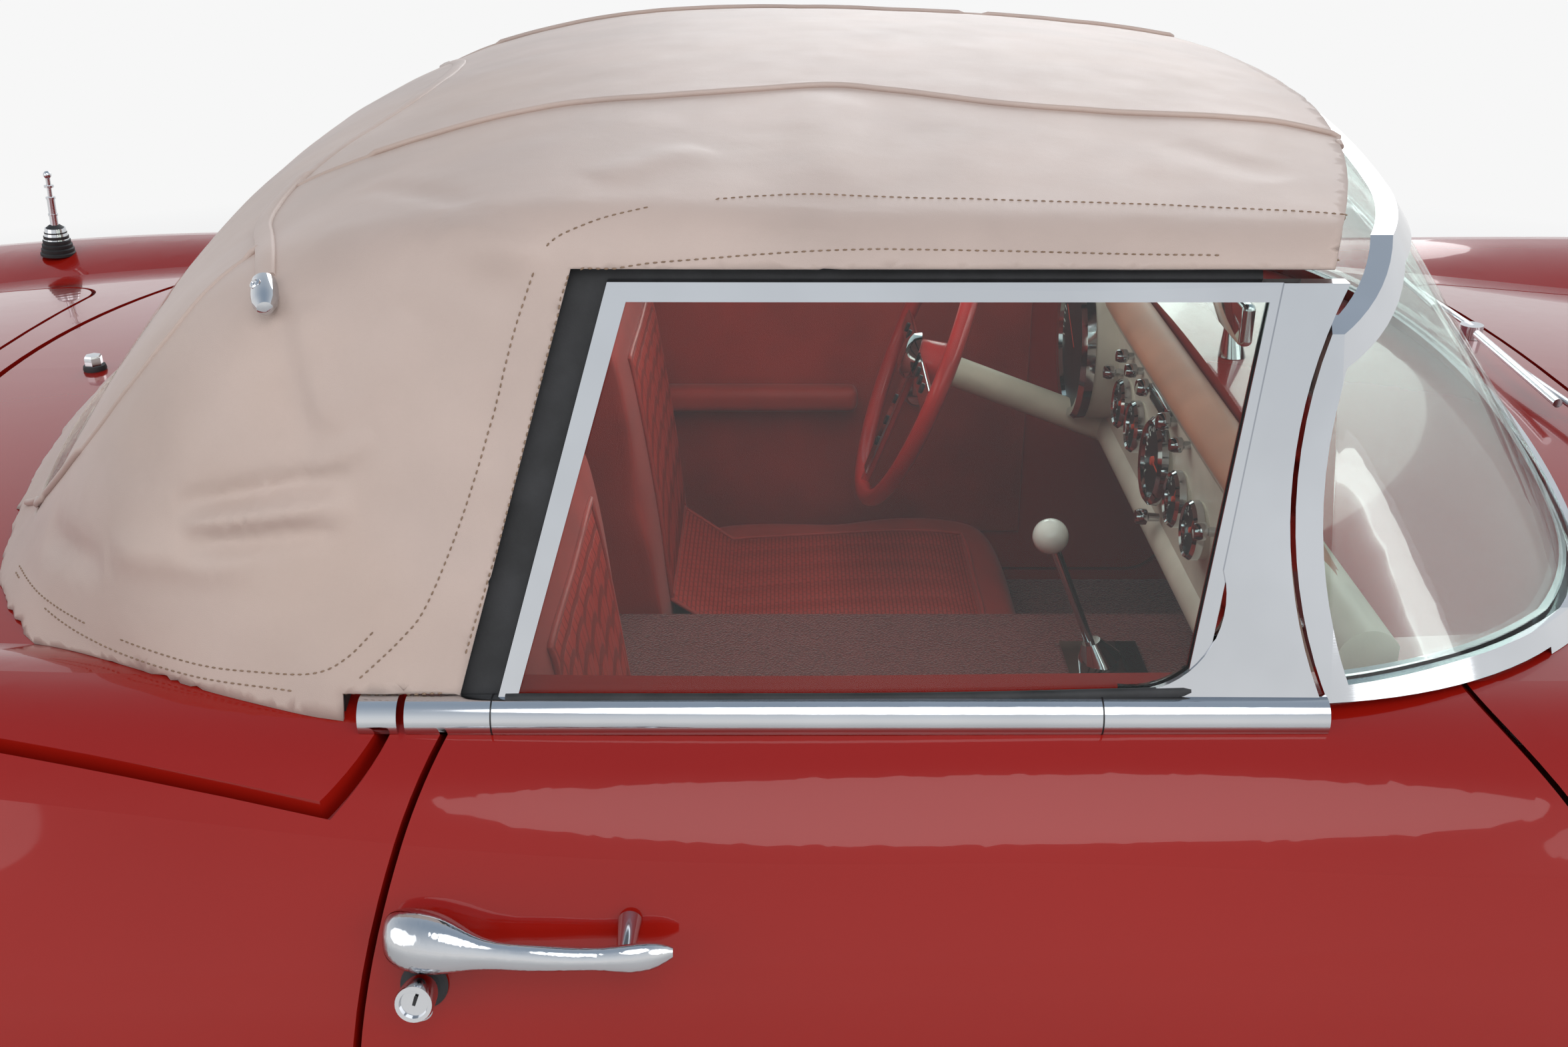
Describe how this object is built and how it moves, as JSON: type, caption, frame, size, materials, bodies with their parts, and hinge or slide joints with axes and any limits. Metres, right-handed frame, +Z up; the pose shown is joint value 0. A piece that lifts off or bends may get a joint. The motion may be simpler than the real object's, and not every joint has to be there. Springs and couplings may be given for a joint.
{
  "type": "two-seat convertible car",
  "caption": "Open two-seat sports car with a raised cloth top, wraparound windshield, hinged doors and lids, steered front wheels and turning wheels.",
  "frame": {"origin": "on the ground, at the middle of the car's length and width", "axes": "+X forward, +Y to the car's left, +Z up"},
  "size_m": [4.267, 1.8154, 1.2841],
  "materials": {
    "paint": "high gloss red paint",
    "chrome": "polished chrome",
    "glass": "clear tinted glass",
    "lens": "clear lens",
    "tail_lens": "red lens",
    "vinyl_top": "off-white coated cloth",
    "clear_vinyl": "clear flexible sheet",
    "black_rubber": "black weatherstrip",
    "black_frame": "satin black paint",
    "seat_vinyl": "red pleated vinyl",
    "carpet": "red carpet",
    "dash": "painted dash with padded roll",
    "wheel_rim": "red steering rim",
    "column": "cream paint",
    "engine_block": "plain block",
    "steel": "dull steel",
    "tyre": "black rubber, white side band",
    "wheel": "polished wheel cover",
    "exhaust": "dull steel pipe"
  },
  "bodies": {
    "car": {"body": "paint", "top_cover_lid": "paint", "grille": "chrome", "front_bumpers": "chrome", "rear_bumpers": "chrome", "headlight_rims": "chrome", "headlight_lenses": "lens", "tail_lamps": "tail_lens", "body_trim": "chrome", "windshield_glass": "glass", "windshield_frame": "chrome", "soft_top": "vinyl_top", "rear_window": "clear_vinyl", "top_frame": "black_frame", "top_seal": "black_rubber", "antenna": "chrome", "mirror": "chrome", "wipers": "chrome", "seat_right": "seat_vinyl", "seat_left": "seat_vinyl", "dashboard": "dash", "steering_column": "column", "gearshift": "chrome", "cabin_carpet": "carpet", "chassis_frame": "black_frame", "engine": "engine_block", "rear_axle": "black_frame", "leaf_springs": "steel", "front_suspension": "black_frame", "exhaust": "exhaust", "buffers": "black_rubber"},
    "hood": {"hood": "paint"},
    "trunk_lid": {"trunk_lid": "paint"},
    "fuel_lid": {"fuel_lid": "paint"},
    "steering_wheel": {"steering_wheel": "wheel_rim"},
    "door_right": {"door_right": "paint", "door_glass_right": "glass", "door_trim_right": "chrome"},
    "knuckle_right": {"knuckle_right": "steel"},
    "wheel_front_right": {"tyre_front_right": "tyre", "wheel_front_right": "wheel"},
    "wheel_rear_right": {"tyre_rear_right": "tyre", "wheel_rear_right": "wheel"},
    "door_left": {"door_left": "paint", "door_glass_left": "glass", "door_trim_left": "chrome"},
    "knuckle_left": {"knuckle_left": "steel"},
    "wheel_front_left": {"tyre_front_left": "tyre", "wheel_front_left": "wheel"},
    "wheel_rear_left": {"tyre_rear_left": "tyre", "wheel_rear_left": "wheel"}
  },
  "joints": [
    {"name": "hood_hinge", "type": "hinge", "parent": "car", "child": "hood", "pos_m": [1.861, 0, 0.792], "axis": [0, 1, 0], "range_deg": [0, 60]},
    {"name": "trunk_hinge", "type": "hinge", "parent": "car", "child": "trunk_lid", "pos_m": [-1.074, 0, 0.898], "axis": [0, 1, 0], "range_deg": [0, 60]},
    {"name": "fuel_lid_hinge", "type": "hinge", "parent": "car", "child": "fuel_lid", "pos_m": [-0.562, 0.8625, 0.7425], "axis": [0, 0.4039, -0.9148], "range_deg": [0, 90]},
    {"name": "steering_wheel_turn", "type": "hinge", "parent": "car", "child": "steering_wheel", "pos_m": [0.095, 0.4, 0.775], "axis": [-0.9336, 0, 0.3584], "range_deg": [-480, 480]},
    {"name": "door_right_hinge", "type": "hinge", "parent": "car", "child": "door_right", "pos_m": [0.551, -0.8945, 0.6], "axis": [0, 0, 1], "range_deg": [0, 65]},
    {"name": "steer_right", "type": "hinge", "parent": "car", "child": "knuckle_right", "pos_m": [1.4095, -0.664, 0.345], "axis": [0, 0, 1], "range_deg": [-30, 30]},
    {"name": "wheel_front_right_spin", "type": "hinge", "parent": "knuckle_right", "child": "wheel_front_right", "pos_m": [1.4095, -0.724, 0.345], "axis": [0, 1, 0], "continuous": true},
    {"name": "wheel_rear_right_spin", "type": "hinge", "parent": "car", "child": "wheel_rear_right", "pos_m": [-1.1815, -0.7495, 0.345], "axis": [0, 1, 0], "continuous": true},
    {"name": "door_left_hinge", "type": "hinge", "parent": "car", "child": "door_left", "pos_m": [0.551, 0.8945, 0.6], "axis": [0, 0, -1], "range_deg": [0, 65]},
    {"name": "steer_left", "type": "hinge", "parent": "car", "child": "knuckle_left", "pos_m": [1.4095, 0.664, 0.345], "axis": [0, 0, 1], "range_deg": [-30, 30]},
    {"name": "wheel_front_left_spin", "type": "hinge", "parent": "knuckle_left", "child": "wheel_front_left", "pos_m": [1.4095, 0.724, 0.345], "axis": [0, 1, 0], "continuous": true},
    {"name": "wheel_rear_left_spin", "type": "hinge", "parent": "car", "child": "wheel_rear_left", "pos_m": [-1.1815, 0.7495, 0.345], "axis": [0, 1, 0], "continuous": true}
  ],
  "couplings": [
    {"joint": "steer_right", "follows": "steer_left", "ratio": 1},
    {"joint": "steering_wheel_turn", "follows": "steer_left", "ratio": 16}
  ]
}
